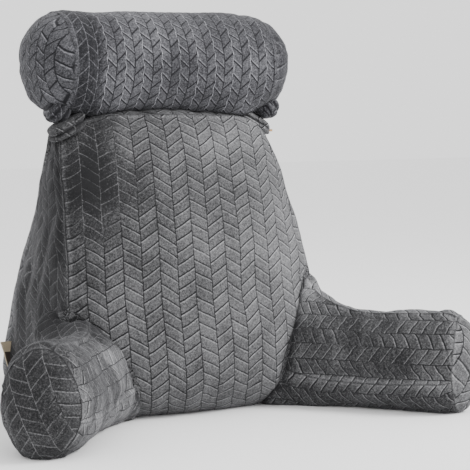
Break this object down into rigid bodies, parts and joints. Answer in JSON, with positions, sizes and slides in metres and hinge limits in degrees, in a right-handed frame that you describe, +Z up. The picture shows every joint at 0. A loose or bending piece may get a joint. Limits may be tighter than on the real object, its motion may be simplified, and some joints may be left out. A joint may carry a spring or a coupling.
{
  "type": "reading pillow with arms and neck roll",
  "caption": "Free-standing reading pillow: a filled wedge to lean on with splayed arms at its front corners and a neck roll tied along its top edge, in chevron-embossed plush",
  "frame": {"origin": "middle of the footprint's bounding box, on the surface that the pillow stands on", "axes": "+Z up, -Y the way the sitter faces, between the arms, +X across the back to the right arm as the pillow is seen from in front"},
  "size_m": [0.8514, 0.566, 0.662],
  "materials": {
    "plush": "short grey plush embossed with chevrons, brushed in light and dark patches",
    "roll_plush": "slightly bluer grey plush embossed with a finer chevron",
    "label_cloth": "woven dark brown label cloth with beige edges, blank",
    "tape_cloth": "tan woven tape"
  },
  "bodies": {
    "root": {"back_cushion": "plush", "arm_right": "plush", "arm_left": "plush", "neck_roll": "roll_plush", "roll_tail_right": "roll_plush", "roll_tail_left": "roll_plush", "strap_right": "plush", "strap_left": "plush", "side_label": "label_cloth", "tape_end": "tape_cloth"}
  },
  "joints": []
}
